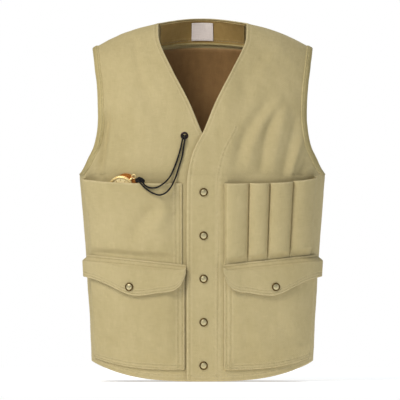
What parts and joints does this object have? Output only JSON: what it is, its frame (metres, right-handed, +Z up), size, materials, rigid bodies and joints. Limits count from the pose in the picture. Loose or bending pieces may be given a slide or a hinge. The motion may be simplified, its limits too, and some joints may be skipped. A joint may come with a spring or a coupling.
{
  "type": "fishing vest",
  "caption": "V-neck canvas fishing vest with a lapped snap front, patch and tube pockets, two snap flaps, and a brass instrument on a lanyard.",
  "frame": {"origin": "midway between the shoulder seams, at the height of their neck ends, where a hanger or the wearer's shoulders carry the vest", "axes": "+Z up, +X to the wearer's left, front at -Y"},
  "size_m": [0.4538, 0.2445, 0.665],
  "materials": {
    "canvas": "khaki cotton canvas, plain weave, matt, lighter along worn edges",
    "lining": "brown cotton lining, smooth, slight sheen",
    "facing": "olive brown cotton twill",
    "binding": "khaki bias tape, folded and stitched",
    "label": "woven off-white satin label, plain",
    "snap_metal": "antique brass, dark rim, rubbed bright on the crown",
    "brass": "polished brass, lightly worn",
    "copper": "copper-coloured lid, polished",
    "dial": "cream enamel dial with plain tick marks",
    "cord": "black braided cord, matt"
  },
  "bodies": {
    "vest_back": {"back_panel": "canvas", "back_lining": "lining", "neck_facing": "facing", "neck_piping": "facing", "neck_label": "label", "right_back_binding": "binding", "left_back_binding": "binding"},
    "right_front": {"right_front_panel": "canvas", "right_front_lining": "lining", "right_front_binding": "binding", "right_chest_pocket": "canvas", "right_lower_pocket": "canvas", "eyelet": "snap_metal", "eyelet_washer": "snap_metal", "right_flap_stud": "snap_metal", "right_flap_post": "snap_metal", "lanyard_strand_1": "cord", "lanyard_strand_2": "cord", "placket_1_stud": "snap_metal", "placket_1_post": "snap_metal", "placket_2_stud": "snap_metal", "placket_2_post": "snap_metal", "placket_3_stud": "snap_metal", "placket_3_post": "snap_metal", "placket_4_stud": "snap_metal", "placket_4_post": "snap_metal", "placket_5_stud": "snap_metal", "placket_5_post": "snap_metal"},
    "left_front": {"left_front_panel": "canvas", "left_front_lining": "lining", "left_front_binding": "binding", "left_tube_pocket": "canvas", "left_lower_pocket": "canvas", "left_flap_stud": "snap_metal", "left_flap_post": "snap_metal", "placket_1_cap": "snap_metal", "placket_1_socket": "snap_metal", "placket_2_cap": "snap_metal", "placket_2_socket": "snap_metal", "placket_3_cap": "snap_metal", "placket_3_socket": "snap_metal", "placket_4_cap": "snap_metal", "placket_4_socket": "snap_metal", "placket_5_cap": "snap_metal", "placket_5_socket": "snap_metal"},
    "right_flap_body": {"right_flap": "canvas", "right_flap_cap": "snap_metal", "right_flap_socket": "snap_metal"},
    "left_flap_body": {"left_flap": "canvas", "left_flap_cap": "snap_metal", "left_flap_socket": "snap_metal"},
    "instrument": {"instrument_case": "brass", "instrument_bezel": "brass", "instrument_dial": "dial", "instrument_lid": "copper", "instrument_crown": "brass", "instrument_bow": "brass", "lanyard_knot": "cord"}
  },
  "joints": [
    {"name": "left_front_swing", "type": "hinge", "parent": "vest_back", "child": "left_front", "pos_m": [0.2175, 0, -0.467], "axis": [0.0583, 0, 0.9983], "range_deg": [0, 70]},
    {"name": "right_front_swing", "type": "hinge", "parent": "vest_back", "child": "right_front", "pos_m": [-0.2175, 0, -0.467], "axis": [-0.0583, 0, 0.9983], "range_deg": [-42, 0]},
    {"name": "right_flap_lift", "type": "hinge", "parent": "right_front", "child": "right_flap_body", "pos_m": [-0.12996, -0.11158, -0.43299], "axis": [-0.9368, 0.3363, 0.0964], "range_deg": [0, 95]},
    {"name": "left_flap_lift", "type": "hinge", "parent": "left_front", "child": "left_flap_body", "pos_m": [0.13401, -0.11122, -0.43297], "axis": [-0.9214, -0.3755, -0.0999], "range_deg": [0, 95]},
    {"name": "instrument_lift", "type": "slide", "parent": "right_front", "child": "instrument", "axis": [-0.02, -0.0691, 0.9974], "range_m": [0, 0.014]}
  ],
  "couplings": [
    {"joint": "right_front_swing", "follows": "left_front_swing", "ratio": -0.6}
  ]
}
